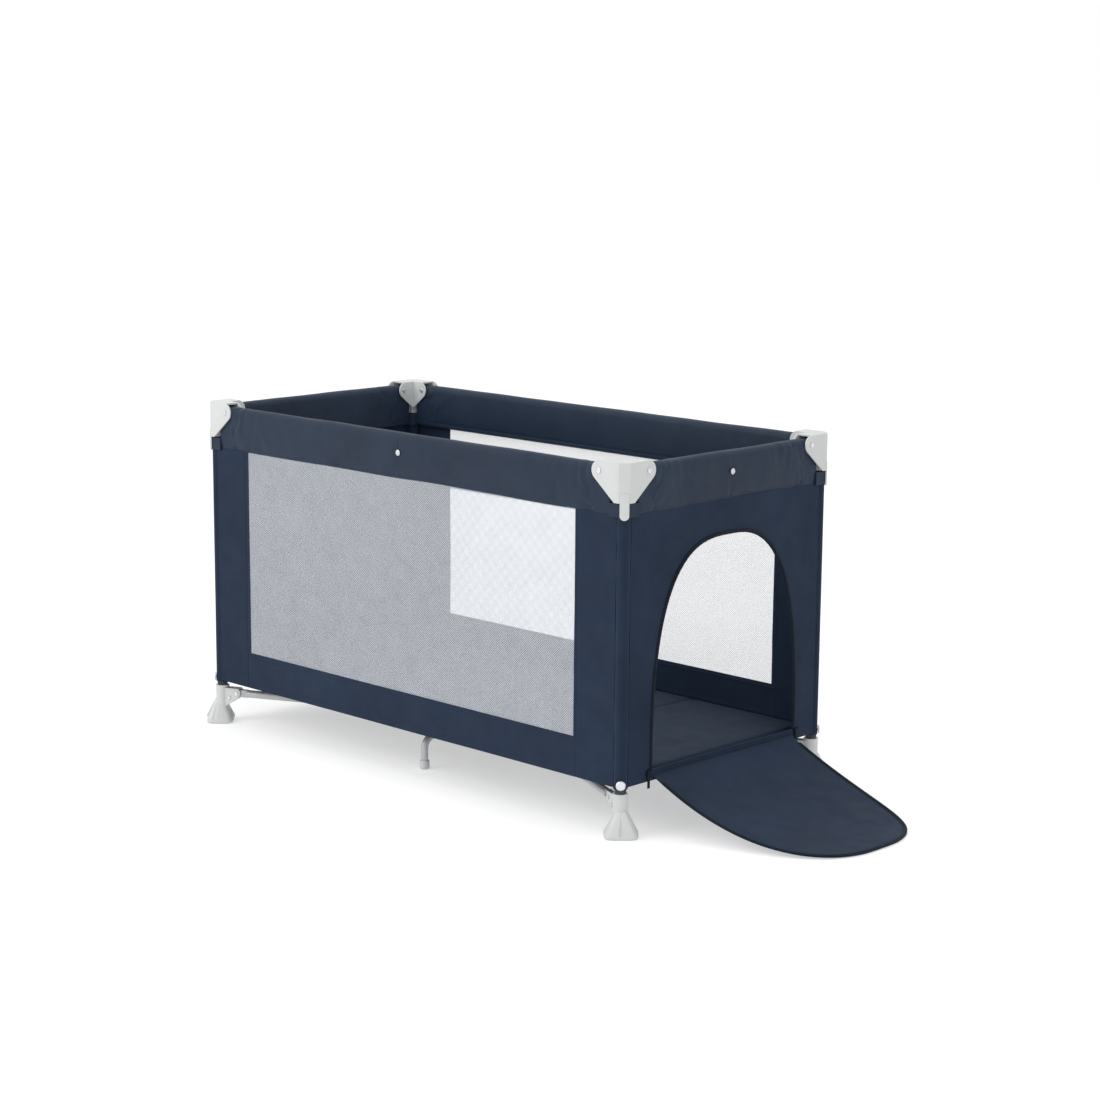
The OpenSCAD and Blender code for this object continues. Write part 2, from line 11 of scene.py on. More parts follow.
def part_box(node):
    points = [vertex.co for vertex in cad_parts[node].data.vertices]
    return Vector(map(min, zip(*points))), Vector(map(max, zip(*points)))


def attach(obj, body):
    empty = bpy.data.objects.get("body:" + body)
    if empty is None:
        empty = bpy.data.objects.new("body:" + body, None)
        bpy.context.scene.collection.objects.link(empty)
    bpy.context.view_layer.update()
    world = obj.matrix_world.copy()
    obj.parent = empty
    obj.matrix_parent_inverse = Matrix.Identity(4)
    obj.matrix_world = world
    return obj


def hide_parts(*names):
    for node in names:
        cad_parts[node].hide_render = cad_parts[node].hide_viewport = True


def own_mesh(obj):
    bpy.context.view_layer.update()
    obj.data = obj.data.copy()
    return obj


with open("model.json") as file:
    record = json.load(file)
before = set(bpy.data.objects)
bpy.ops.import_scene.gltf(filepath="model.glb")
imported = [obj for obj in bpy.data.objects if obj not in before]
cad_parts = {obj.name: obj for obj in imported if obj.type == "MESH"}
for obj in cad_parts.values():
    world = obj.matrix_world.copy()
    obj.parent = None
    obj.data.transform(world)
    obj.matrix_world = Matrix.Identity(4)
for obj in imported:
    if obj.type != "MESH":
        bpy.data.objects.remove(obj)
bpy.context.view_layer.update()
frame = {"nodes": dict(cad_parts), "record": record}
nodes = frame["nodes"]

MM = 0.001
CORNERS = {"fl": (-1, -1), "fr": (1, -1), "bl": (-1, 1), "br": (1, 1)}


# ---- places and sizes, from the frame ----


def middle(node):
    low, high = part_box(node)
    return (low + high) / 2


POST = {c: middle("post_" + c) for c in CORNERS}
POST_X = POST["fr"].x
POST_Y = POST["br"].y
RAIL_Z = middle("long_rail_fl").z
HEM_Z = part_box("front_border")[0].z
WALL_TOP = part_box("front_border")[1].z
WINDOW_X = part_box("front_net")[1].x
WINDOW_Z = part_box("front_net")[0].z
SLEEVE_R = (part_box("sleeve_fl")[1].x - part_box("sleeve_fl")[0].x) / 2
SLEEVE_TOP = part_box("sleeve_fl")[1].z
FLANGE_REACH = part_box("casting_fl")[1].x - POST["fl"].x
COVER_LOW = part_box("cover_front")[0].z
COVER_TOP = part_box("cover_front")[1].z
COVER_HALF = (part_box("cover_front")[1].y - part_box("cover_front")[0].y) / 2
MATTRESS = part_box("mattress")
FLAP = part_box("door_flap")
WALL_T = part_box("left_wall")[1].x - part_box("left_wall")[0].x

# A wall's cloth is thinner than its CAD plate, and its waves stay within this of the plate's middle
CLOTH_T = WALL_T * 0.8
RELIEF = 1.6 * MM
# A wall's cloth goes on inside the cover above it and into the sleeve beside it
CLOTH_TOP = WALL_TOP + 6 * MM
CLOTH_SIDE = 2.5 * MM

# A foot stands this far out of its post's line; its rim is below FOOT_RIM and beyond FOOT_COLLAR
FOOT_SPLAY = 6 * MM
FOOT_RIM = 9.5 * MM
FOOT_COLLAR = 25 * MM


# ---- shader helpers ----


class Shader:
    """One material's node tree, with short ways to add the nodes it needs."""

    def __init__(self, name):
        self.material = bpy.data.materials.new(name)
        self.material.use_nodes = True
        self.tree = self.material.node_tree
        self.shader = self.tree.nodes["Principled BSDF"]
        self.coords = self.tree.nodes.new("ShaderNodeTexCoord").outputs["Object"]

    def add(self, kind, **values):
        node = self.tree.nodes.new(kind)
        for key, value in values.items():
            if hasattr(node, key):
                setattr(node, key, value)
            else:
                node.inputs[key.replace("_", " ").title()].default_value = value
        return node

    def link(self, source, target):
        self.tree.links.new(source, target)

    def set(self, **values):
        for key, value in values.items():
            self.shader.inputs[key.replace("_", " ").title().replace("Ior", "IOR")].default_value = value

    def noise(self, scale, detail=3.0, rough=0.5, stretch=None):
        """Noise in metres: scale is its features per metre."""
        node = self.add("ShaderNodeTexNoise", scale=scale, detail=detail, roughness=rough)
        source = self.coords
        if stretch:
            mapping = self.add("ShaderNodeMapping")
            mapping.inputs["Scale"].default_value = stretch
            self.link(source, mapping.inputs["Vector"])
            source = mapping.outputs["Vector"]
        self.link(source, node.inputs["Vector"])
        return node.outputs["Fac"]

    def math(self, operation, a, b=None):
        node = self.add("ShaderNodeMath", operation=operation)
        for k, value in enumerate((a, b)):
            if value is None:
                continue
            if isinstance(value, (int, float)):
                node.inputs[k].default_value = value
            else:
                self.link(value, node.inputs[k])
        return node.outputs[0]

    def ramp(self, factor, stops):
        node = self.add("ShaderNodeValToRGB")
        ramp = node.color_ramp
        while len(ramp.elements) < len(stops):
            ramp.elements.new(0.5)
        for element, (place, colour) in zip(ramp.elements, stops):
            element.position = place
            element.color = (*colour, 1)
        self.link(factor, node.inputs["Fac"])
        return node.outputs["Color"]

    def remap(self, value, low, high, to_low, to_high):
        node = self.add("ShaderNodeMapRange")
        for key, number in (("From Min", low), ("From Max", high), ("To Min", to_low), ("To Max", to_high)):
            node.inputs[key].default_value = number
        self.link(value, node.inputs["Value"])
        return node.outputs["Result"]

    def colour(self, factor, dark, light):
        """Runs the base colour from dark to light over the middle of a noise."""
        self.link(self.ramp(factor, [(0.3, dark), (0.7, light)]), self.shader.inputs["Base Color"])

    def vary_roughness(self, factor, centre, spread):
        """Spreads the roughness round a centre value, over the middle of a noise."""
        low, high = centre - spread, centre + spread
        self.link(self.remap(factor, 0.3, 0.7, low, high), self.shader.inputs["Roughness"])

    def threads(self, pitch):
        """A woven height between 0 and 1 that shows on any face, whichever way it looks."""
        split = self.add("ShaderNodeSeparateXYZ")
        self.link(self.coords, split.inputs[0])
        x, y, z = split.outputs
        turn = 2 * math.pi / pitch
        warp = self.math("SINE", self.math("MULTIPLY", self.math("ADD", x, y), turn))
        across = self.math("ADD", z, self.math("SUBTRACT", x, y))
        weft = self.math("SINE", self.math("MULTIPLY", across, turn))
        return self.math("ADD", self.math("MULTIPLY", self.math("MULTIPLY", warp, weft), 0.5), 0.5)

    def bump(self, *layers):
        """Layers of (height, strength, distance in metres), joined one on the next."""
        last = None
        for height, strength, distance in layers:
            node = self.add("ShaderNodeBump")
            node.inputs["Strength"].default_value = strength
            node.inputs["Distance"].default_value = distance
            self.link(height, node.inputs["Height"])
            if last:
                self.link(last, node.inputs["Normal"])
            last = node.outputs["Normal"]
        self.link(last, self.shader.inputs["Normal"])


def cloth_material(name, dark, light, roughness, coat=0.0):
    """Woven polyester: two close tones, a fine weave, soft creases and a sheen."""
    s = Shader(name)
    tone = s.noise(5.0, 4, 0.55)
    weave = s.threads(1.3 * MM)
    blend = s.math("ADD", s.math("MULTIPLY", tone, 0.75), s.math("MULTIPLY", weave, 0.25))
    s.colour(blend, dark, light)
    s.vary_roughness(s.noise(26, 3), roughness, 0.06)
    s.set(sheen_weight=0.06, sheen_roughness=0.45, specular_ior_level=0.2)
    s.shader.inputs["Sheen Tint"].default_value = (0.55, 0.66, 0.85, 1)
    if coat:
        s.set(coat_weight=coat, coat_roughness=0.42)
    s.bump(
        (s.noise(9, 3, 0.5, (1, 1, 0.6)), 0.35, 4 * MM),
        (s.noise(70, 2), 0.25, 0.6 * MM),
        (weave, 0.35, 0.25 * MM),
    )
    return s.material


def net_material():
    """Knitted net: pale threads around round holes set in diamond rows."""
    s = Shader("net_mesh")
    pitch = 3.6 * MM
    mapping = s.add("ShaderNodeMapping")
    mapping.inputs["Rotation"].default_value = (0, math.radians(45), 0)
    flatten = s.add("ShaderNodeMapping")
    flatten.inputs["Scale"].default_value = (1 / pitch, 0, 1 / pitch)
    s.link(s.coords, mapping.inputs["Vector"])
    s.link(mapping.outputs["Vector"], flatten.inputs["Vector"])
    cells = s.add("ShaderNodeTexVoronoi", scale=1.0, randomness=0.0)
    s.link(flatten.outputs["Vector"], cells.inputs["Vector"])
    distance = cells.outputs["Distance"]
    s.link(s.remap(distance, 0.33, 0.46, 0.22, 0.7), s.shader.inputs["Alpha"])
    s.colour(s.noise(30, 3), (0.60, 0.63, 0.68), (0.66, 0.69, 0.74))
    s.set(roughness=0.6, sheen_weight=0.3, sheen_roughness=0.5)
    s.bump((s.remap(distance, 0.36, 0.7, 0, 1), 0.4, 0.5 * MM))
    return s.material


def plastic_material(name, dark, light, roughness):
    """Moulded plastic: fine grain, faint flow marks and uneven gloss."""
    s = Shader(name)
    s.colour(s.noise(12, 4, 0.6), dark, light)
    s.vary_roughness(s.noise(60, 4), roughness, 0.07)
    s.set(specular_ior_level=0.5)
    s.bump((s.noise(16, 2), 0.12, 1.2 * MM), (s.noise(1400, 2), 0.12, 0.12 * MM))
    return s.material


def metal_material(name, dark, light, roughness, metallic):
    """Painted or plated steel: brushed or sprayed grain and slight colour drift."""
    s = Shader(name)
    s.colour(s.noise(18, 4, 0.6), dark, light)
    scratches = s.noise(500, 2)
    s.vary_roughness(scratches, roughness, 0.08)
    s.set(metallic=metallic, specular_ior_level=0.5 if metallic else 0.15)
    s.bump((scratches, 0.1, 0.1 * MM))
    return s.material


WALL_NAVY = ((0.006, 0.014, 0.032), (0.011, 0.023, 0.049))
COVER_NAVY = ((0.007, 0.015, 0.032), (0.012, 0.024, 0.048))
MATTRESS_NAVY = ((0.006, 0.013, 0.028), (0.010, 0.021, 0.043))
PALE_GREY = ((0.49, 0.507, 0.503), (0.54, 0.557, 0.552))
HUB_BLACK = ((0.03, 0.032, 0.035), (0.05, 0.052, 0.056))
BUTTON_RED = ((0.45, 0.06, 0.03), (0.55, 0.09, 0.04))
PAINT_GREY = ((0.40, 0.41, 0.42), (0.48, 0.49, 0.50))
PAINT_DARK = ((0.018, 0.021, 0.027), (0.030, 0.034, 0.042))
ZINC = ((0.62, 0.63, 0.66), (0.74, 0.75, 0.77))
PRESSED_STEEL = ((0.55, 0.56, 0.58), (0.68, 0.69, 0.71))
ZIP_BLACK = ((0.003, 0.006, 0.012), (0.007, 0.012, 0.022))

MATERIALS = {
    "wall_fabric": cloth_material("wall_cloth", *WALL_NAVY, 0.78),
    "cover_fabric": cloth_material("cover_cloth", *COVER_NAVY, 0.60, coat=0.06),
    "mattress_fabric": cloth_material("mattress_cloth", *MATTRESS_NAVY, 0.78),
    "net": net_material(),
    "pale_plastic": plastic_material("pale_plastic", *PALE_GREY, 0.5),
    "hub_plastic": plastic_material("hub_plastic", *HUB_BLACK, 0.5),
    "button_plastic": plastic_material("button_plastic", *BUTTON_RED, 0.42),
    "grey_metal": metal_material("grey_paint", *PAINT_GREY, 0.42, 0.35),
    "dark_metal": metal_material("dark_paint", *PAINT_DARK, 0.45, 0.2),
    "steel": metal_material("zinc_steel", *ZINC, 0.30, 0.9),
    "lock_steel": metal_material("pressed_steel", *PRESSED_STEEL, 0.36, 0.9),
    "zip_metal": metal_material("zip_enamel", *ZIP_BLACK, 0.6, 0.0),
}


# ---- mesh helpers ----


def make_object(name, vertices, faces, slot):
    mesh = bpy.data.meshes.new(name)
    mesh.from_pydata([tuple(v) for v in vertices], [], [tuple(f) for f in faces])
    mesh.validate()
    bm = bmesh.new()
    bm.from_mesh(mesh)
    bmesh.ops.remove_doubles(bm, verts=bm.verts, dist=1e-6)
    bmesh.ops.recalc_face_normals(bm, faces=bm.faces)
    bm.to_mesh(mesh)
    bm.free()
    mesh.shade_smooth()
    mesh.set_sharp_from_angle(angle=math.radians(50))
    piece = bpy.data.objects.new(name, mesh)
    bpy.context.scene.collection.objects.link(piece)
    mesh.materials.append(MATERIALS[slot])
    return piece


def apply_modifiers(piece):
    graph = bpy.context.evaluated_depsgraph_get()
    final = bpy.data.meshes.new_from_object(piece.evaluated_get(graph))
    piece.modifiers.clear()
    piece.data = final
    return piece


def grid_slab(name, columns, rows, place, thickness, slot, keep=None):
    """A closed slab over a grid: place(u, v) gives a point and its outward normal."""
    front, back, faces = [], [], []
    for v in rows:
        for u in columns:
            point, normal = place(u, v)
            front.append(point + normal * thickness / 2)
            back.append(point - normal * thickness / 2)
    count = len(columns)
    total = len(front)
    kept = set()
    for j in range(len(rows) - 1):
        for i in range(count - 1):
            if keep is None or keep((columns[i] + columns[i + 1]) / 2, (rows[j] + rows[j + 1]) / 2):
                kept.add((i, j))
    for i, j in sorted(kept):
        a, b = j * count + i, j * count + i + 1
        c, d = (j + 1) * count + i + 1, (j + 1) * count + i
        faces.append((a, b, c, d))
        faces.append((d + total, c + total, b + total, a + total))
        sides = (((i, j - 1), (a, b)), ((i + 1, j), (b, c)), ((i, j + 1), (c, d)), ((i - 1, j), (d, a)))
        for neighbour, edge in sides:
            if neighbour not in kept:
                faces.append((edge[0], edge[0] + total, edge[1] + total, edge[1]))
    piece = make_object(name, front + back, faces, slot)
    loose = bmesh.new()
    loose.from_mesh(piece.data)
    bmesh.ops.delete(loose, geom=[v for v in loose.verts if not v.link_faces], context="VERTS")
    loose.to_mesh(piece.data)
    loose.free()
    return piece


def grid_quads(count, lines):
    """Faces of a grid whose points run line by line, count to a line."""
    corners = [j * count + i for j in range(lines - 1) for i in range(count - 1)]
    return [(a, a + 1, a + count + 1, a + count) for a in corners]


def two_skins(quads, total):
    """Each face of an upper skin, with its turned twin in the lower skin, total points on."""
    return [face for quad in quads for face in (quad, tuple(k + total for k in reversed(quad)))]


def loft(name, rings, slot, closed=False):
    """A skin through rings of points, with its two ends capped unless it closes on itself."""
    count = len(rings[0])
    vertices = [p for ring in rings for p in ring]
    faces = []
    spans = len(rings) if closed else len(rings) - 1
    for j in range(spans):
        k = (j + 1) % len(rings)
        for i in range(count):
            m = (i + 1) % count
            faces.append((j * count + i, j * count + m, k * count + m, k * count + i))
    if not closed:
        faces.append(tuple(range(count))[::-1])
        faces.append(tuple((len(rings) - 1) * count + i for i in range(count)))
    return make_object(name, vertices, faces, slot)


def steps(low, high, size):
    """Even steps from low to high, each no longer than size."""
    return list(np.linspace(low, high, max(2, int(math.ceil((high - low) / size)) + 1)))


def soft_noise(x, y, seed):
    return noise.noise(Vector((x, y, seed)))


def edge_wave(distance, depth, width):
    """A smooth groove of a depth at distance 0 that dies away over width."""
    return -depth * math.exp(-((distance / width) ** 2))


# ---- walls ----


# The seam round a window: how far from its edge, how deep and how wide
SEAM_IN = 9 * MM
SEAM_DEPTH = 1.0 * MM
SEAM_WIDTH = 2.0 * MM
# Close grid lines round the seam of the hem
HEM_ROWS = [HEM_Z + d * MM for d in (0, 4, 9, 11.5, 14, 16.5, 19)]


def wall_frame(side):
    """Point and outward normal makers for a wall: along runs on it, up is the height."""
    if side in ("front", "back"):
        sign = -1 if side == "front" else 1
        plane = middle(side + "_border").y
        return lambda along, up, out=0.0: (Vector((along, plane + sign * out, up)), Vector((0, sign, 0)))
    sign = -1 if side == "left" else 1
    plane = middle("left_wall" if side == "left" else "door_wall").x
    return lambda along, up, out=0.0: (Vector((plane + sign * out, along, up)), Vector((sign, 0, 0)))


def cloth_relief(along, up, seed, half):
    """How far a taut wall stands out: slow waves, pulls from the corners and a hem seam."""
    pull_reach, tuck_reach, hem_seam = 0.20, 0.06, 14 * MM
    wave = 1.3 * MM * soft_noise(along * 4.0, up * 5.0, seed)
    corner = min(abs(half - abs(along)), pull_reach) / pull_reach
    pull = 1.2 * MM * (1 - corner) * soft_noise(along * 10 + up * 22, up * 6, seed + 7)
    tuck = 0.9 * MM * soft_noise(along * 26, up * 4, seed + 3) * math.exp(-(WALL_TOP - up) / tuck_reach)
    hem = edge_wave(up - HEM_Z - hem_seam, 1.0 * MM, 2.2 * MM)
    return wave + pull + tuck + hem


def within_relief(out):
    """A wall's wave, held to what its CAD plate leaves room for."""
    return max(min(out, RELIEF), -RELIEF)


def long_wall(side):
    """The border of a long wall round its net window, with sewn seams beside the window."""
    point = wall_frame(side)
    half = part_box(side + "_border")[1].x + CLOTH_SIDE
    seed = 3.0 if side == "front" else 11.0
    seam = WINDOW_X + SEAM_IN

    def place(u, v):
        out = cloth_relief(u, v, seed, half)
        out += edge_wave(abs(u) - seam, SEAM_DEPTH, SEAM_WIDTH)
        if abs(u) < seam + 3 * MM:
            out += edge_wave(v - WINDOW_Z + SEAM_IN, SEAM_DEPTH, SEAM_WIDTH)
        return point(u, v, within_relief(out))

    near_seam = [seam + d * MM for d in (-6, -3, -1.5, 0, 1.5, 3, 6)]
    outer = steps(seam + 12 * MM, half, 9 * MM)
    right = [WINDOW_X] + near_seam[2:] + outer
    columns = [-x for x in reversed(right)] + steps(-WINDOW_X, WINDOW_X, 16 * MM)[1:-1] + right
    under = [WINDOW_Z + d * MM for d in (-15, -12, -10.5, -9, -7.5, -6, 0)]
    rows = HEM_ROWS + steps(HEM_Z + 25 * MM, WINDOW_Z - 20 * MM, 8 * MM) + under
    rows += steps(WINDOW_Z + 10 * MM, CLOTH_TOP, 10 * MM)
    keep = lambda u, v: abs(u) > WINDOW_X or v < WINDOW_Z
    wall = grid_slab(side + "_wall_cloth", columns, rows, place, CLOTH_T, "wall_fabric", keep)
    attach(wall, "corner_fl" if side == "front" else "corner_bl")
    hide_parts(side + "_border")
    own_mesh(wall)
    return wall


def net_window(side):
    """The net in a long wall, sewn behind the border's edge and slightly slack."""
    point = wall_frame(side)
    seed = 21.0 if side == "front" else 29.0
    sewn_reach = 0.08
    vertices = []
    columns = steps(-WINDOW_X, WINDOW_X, 20 * MM)
    rows = steps(WINDOW_Z, CLOTH_TOP, 20 * MM)
    for v in rows:
        for u in columns:
            rim = min(WINDOW_X - abs(u), v - WINDOW_Z) / sewn_reach
            slack = 2.0 * MM * soft_noise(u * 3.5, v * 4.5, seed) * min(1.0, max(0.0, rim))
            vertices.append(point(u, v, slack)[0])
    faces = grid_quads(len(columns), len(rows))
    net = make_object(side + "_net_cloth", vertices, faces, "net")
    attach(net, "corner_fl" if side == "front" else "corner_bl")
    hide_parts(side + "_net")
    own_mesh(net)
    return net


# ---- the door end ----

# The doorway is half a superellipse that stands on its sill
ARCH = {"curve": 2.8, "half": (FLAP[1].y - FLAP[0].y) / 2 + 2 * MM, "height": 0.455, "sill": 0.125}
SILL_GAPS = 38


def arch_point(turn, half, height):
    """A point of the door's superellipse, in (along, up) above the sill; turn is 0 to pi."""
    power = 2 / ARCH["curve"]
    cosine, sine = math.cos(turn), max(0.0, math.sin(turn))
    return math.copysign(abs(cosine) ** power, cosine) * half, sine ** power * height


def door_wall():
    """The door end's cloth: rings of points from the arch out to the wall's edge."""
    point = wall_frame("door")
    half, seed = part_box("door_wall")[1].y + CLOTH_SIDE, 41.0
    turns = steps(0, math.pi, math.pi / 96)
    shares = [0, 0.012, 0.03, 0.06, 0.12, 0.22, 0.35, 0.5, 0.65, 0.8, 0.92, 1.0]

    def rim(turn):
        """Where the ray at this turn meets the wall's outline, from the arch point."""
        along, up = arch_point(turn, ARCH["half"], ARCH["height"])
        side = math.copysign(1, math.cos(turn))
        lean = abs(math.cos(turn))
        # The low rays all reach the side and the steep ones the top, so the corners are filled
        wide = min(1.0, lean * 1.75)
        tall = min(1.0, math.sin(turn) * 1.9)
        beside = side * (abs(along) + (half - abs(along)) * wide)
        return beside, ARCH["sill"] + up + (CLOTH_TOP - ARCH["sill"] - up) * tall

    front, faces = [], []
    for turn in turns:
        along, up = arch_point(turn, ARCH["half"], ARCH["height"])
        inner = (along, ARCH["sill"] + up)
        outer = rim(turn)
        for share in shares:
            u = inner[0] + (outer[0] - inner[0]) * share
            v = inner[1] + (outer[1] - inner[1]) * share
            front.append((u, v))
    count = len(shares)
    # The strip under the sill is a plain grid that joins the arch's two feet
    all_points, quads = list(front), grid_quads(count, len(turns))
    feet_right = list(range(0, count))
    feet_left = list(range((len(turns) - 1) * count, len(turns) * count))
    top_row = list(reversed(feet_left)) + [None] * (SILL_GAPS - 1) + feet_right
    spots = []
    for k, index in enumerate(top_row):
        if index is None:
            share = (k - count + 1) / SILL_GAPS
            all_points.append((-ARCH["half"] + 2 * ARCH["half"] * share, ARCH["sill"]))
            index = len(all_points) - 1
        spots.append(index)
    previous = spots
    for up in (ARCH["sill"] - 4 * MM, ARCH["sill"] - 8 * MM, HEM_Z + 6 * MM, HEM_Z):
        current = []
        for index in spots:
            all_points.append((all_points[index][0], up))
            current.append(len(all_points) - 1)
        for k in range(len(spots) - 1):
            quads.append((previous[k], current[k], current[k + 1], previous[k + 1]))
        previous = current
    total = len(all_points)
    edge_count = {}
    for quad in quads:
        for a, b in zip(quad, quad[1:] + quad[:1]):
            edge_count[frozenset((a, b))] = edge_count.get(frozenset((a, b)), 0) + 1
    vertices = []
    for offset in (CLOTH_T / 2, -CLOTH_T / 2):
        for u, v in all_points:
            out = cloth_relief(u, v, seed, half)
            place, normal = point(u, v, within_relief(out))
            vertices.append(place + normal * offset)
    for quad in quads:
        faces.append(quad)
        faces.append(tuple(i + total for i in reversed(quad)))
        for a, b in zip(quad, quad[1:] + quad[:1]):
            if edge_count[frozenset((a, b))] == 1:
                faces.append((a, a + total, b + total, b))
    wall = make_object("door_wall_cloth", vertices, faces, "wall_fabric")
    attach(wall, "corner_fr")
    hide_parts("door_wall")
    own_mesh(wall)
    return wall


def end_wall():
    """The plain cloth wall at the other end."""
    point = wall_frame("left")
    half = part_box("left_wall")[1].y + CLOTH_SIDE
    place = lambda u, v: point(u, v, within_relief(cloth_relief(u, v, 57.0, half)))
    rows = HEM_ROWS + steps(HEM_Z + 30 * MM, CLOTH_TOP, 12 * MM)
    wall = grid_slab("end_wall_cloth", steps(-half, half, 10 * MM), rows, place, CLOTH_T, "wall_fabric")
    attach(wall, "corner_fl")
    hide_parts("left_wall")
    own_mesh(wall)
    return wall


def zip_strip(name, path, normals, body):
    """A zip tape swept along a path, with a raised coil down its middle; its profile is in mm."""
    left = [(-4.0, 0.0), (-3.8, 0.9), (-1.6, 1.0), (-1.2, 2.0)]
    profile = left + [(0, 2.5)] + [(-a, b) for a, b in reversed(left)]
    rings = []
    for k, (place, normal) in enumerate(zip(path, normals)):
        ahead = path[min(k + 1, len(path) - 1)] - path[max(k - 1, 0)]
        side = ahead.cross(normal).normalized()
        tooth = 0.35 if k % 2 else 0.0
        rings.append([place + side * (a * MM) + normal * ((b - tooth * (b > 1.5)) * MM) for a, b in profile])
    strip = loft(name, rings, "zip_metal")
    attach(strip, body)
    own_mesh(strip)
    return strip


def door_zip():
    """The zip around the arch, on the outside of the door wall."""
    point = wall_frame("door")
    path, normals = [], []
    for turn in steps(0, math.pi, math.pi / 420):
        along, up = arch_point(turn, ARCH["half"] + 4 * MM, ARCH["height"] + 4 * MM)
        place, normal = point(along, ARCH["sill"] + up, CLOTH_T / 2 + 0.6 * MM)
        path.append(place)
        normals.append(normal)
    return zip_strip("door_zip", path, normals, "corner_fr")


# The flap hangs from the sill in a parabola that ends just over the floor
FLAP_RUN = FLAP[1].x - FLAP[0].x
FLAP_T = 6 * MM
FLAP_GAP = 0.6 * MM
FLAP_DROP = FLAP[1].z - FLAP_T - FLAP_GAP


def flap_under(run):
    """Height of the flap's underside at a distance from its hinge."""
    return FLAP_DROP * (1 - run / FLAP_RUN) ** 2 + FLAP_GAP


def flap_frame(run, across):
    """A point on the flap's middle, and its upward normal."""
    slope = -2 * FLAP_DROP * (1 - run / FLAP_RUN) / FLAP_RUN
    normal = Vector((-slope, 0, 1)).normalized()
    return Vector((FLAP[0].x + run, across, flap_under(run) + FLAP_T / 2)), normal


def door_flap():
    """The padded flap: a thin cushion with a bound edge, sewn to the sill."""
    half = ARCH["half"] - 3 * MM
    # The padding fills out over the first distance; the binding and its groove lie at the next two
    pad_reach, binding_at, groove_at = 0.020, 4 * MM, 11 * MM
    vertices_top, vertices_low = [], []
    turns = [math.pi / 2 * t for t in np.linspace(0, 1, 64)]
    shares = [-1, -0.985, -0.965, -0.94] + list(np.linspace(-0.9, 0.9, 39)) + [0.94, 0.965, 0.985, 1]
    for turn in turns:
        wide, run = arch_point(turn, half, FLAP_RUN - 2 * MM)
        for share in shares:
            across = wide * share
            edge = min(wide * (1 - abs(share)), (FLAP_RUN - run) * 0.8) if wide > 0 else 0
            full = min(1.0, edge / pad_reach) ** 0.5
            binding = 0.9 * MM * math.exp(-((edge - binding_at) / (3.5 * MM)) ** 2)
            groove = edge_wave(edge - groove_at, 0.9 * MM, 2.0 * MM)
            thick = max(0.0006, (FLAP_T / 2 - 0.7 * MM) * full + binding + groove * 0.8)
            ripple = 1.0 * MM * soft_noise(run * 7, across * 5, 71.0)
            place, normal = flap_frame(run, across)
            lift = max(0.0, min(1.0, (place.z - 8 * MM) / 0.02))
            vertices_top.append(place + normal * (thick + ripple * lift * 0.6))
            vertices_low.append(place - normal * (thick - ripple * lift * 0.6))
    count, total, last = len(shares), len(vertices_top), len(turns) - 1
    faces = two_skins(grid_quads(count, len(turns)), total)
    rim = [j * count + count - 1 for j in range(last + 1)]
    other = [j * count for j in range(last + 1)]
    for edge in (rim, other):
        for a, b in zip(edge, edge[1:]):
            faces.append((a, b, b + total, a + total))
    for i in range(count - 1):
        faces.append((i, i + 1, i + 1 + total, i + total))
        tip = last * count + i
        faces.append((tip, tip + 1, tip + 1 + total, tip + total))
    flap = make_object("door_flap_cloth", vertices_top + vertices_low, faces, "wall_fabric")
    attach(flap, "door_flap")
    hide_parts("door_flap")
    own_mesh(flap)
    return flap


def flap_zip():
    """The other half of the zip, along the flap's free edge."""
    path, normals = [], []
    for turn in steps(0.02, math.pi - 0.02, math.pi / 420):
        across, run = arch_point(turn, ARCH["half"] - 6 * MM, FLAP_RUN - 6 * MM)
        place, normal = flap_frame(run, across)
        path.append(place + normal * 2.0 * MM)
        normals.append(normal)
    return zip_strip("flap_zip", path, normals, "door_flap")


# ---- rail covers ----

# A cover's end is tucked between its casting's flanges: how far from the post, how thick, how high
TUCK_END = 24 * MM
TUCK_HALF = 16.2 * MM
TUCK_TOP = RAIL_Z + 11 * MM
# The gathers fade over this length
GATHER = 0.05
# A cover may stand this far out of its CAD shape
COVER_PROUD = 2.2 * MM
SIM_FRAMES = 20


def puff(piece, voxel, cap, pinned):
    """Blows a closed cloth shape up as padding does; pinned(point) says which points stay."""
    remesh = piece.modifiers.new("skin", "REMESH")
    remesh.mode = "VOXEL"
    remesh.voxel_size = voxel
    apply_modifiers(piece)
    mesh = piece.data
    start = [v.co.copy() for v in mesh.vertices]
    group = piece.vertex_groups.new(name="held")
    group.add([k for k, co in enumerate(start) if pinned(co)], 1.0, "REPLACE")
    cloth = piece.modifiers.new("cloth", "CLOTH").settings
    cloth.vertex_group_mass = "held"
    cloth.use_pressure = True
    cloth.uniform_pressure_force = 4.0
    cloth.quality = 5
    cloth.effector_weights.gravity = 0
    scene = bpy.context.scene
    for step in range(1, SIM_FRAMES + 1):
        scene.frame_set(step)
    apply_modifiers(piece)
    for vertex, before in zip(piece.data.vertices, start):
        move = vertex.co - before
        if move.length > cap:
            vertex.co = before + move * (cap / move.length)
    scene.frame_set(1)
    piece.vertex_groups.clear()


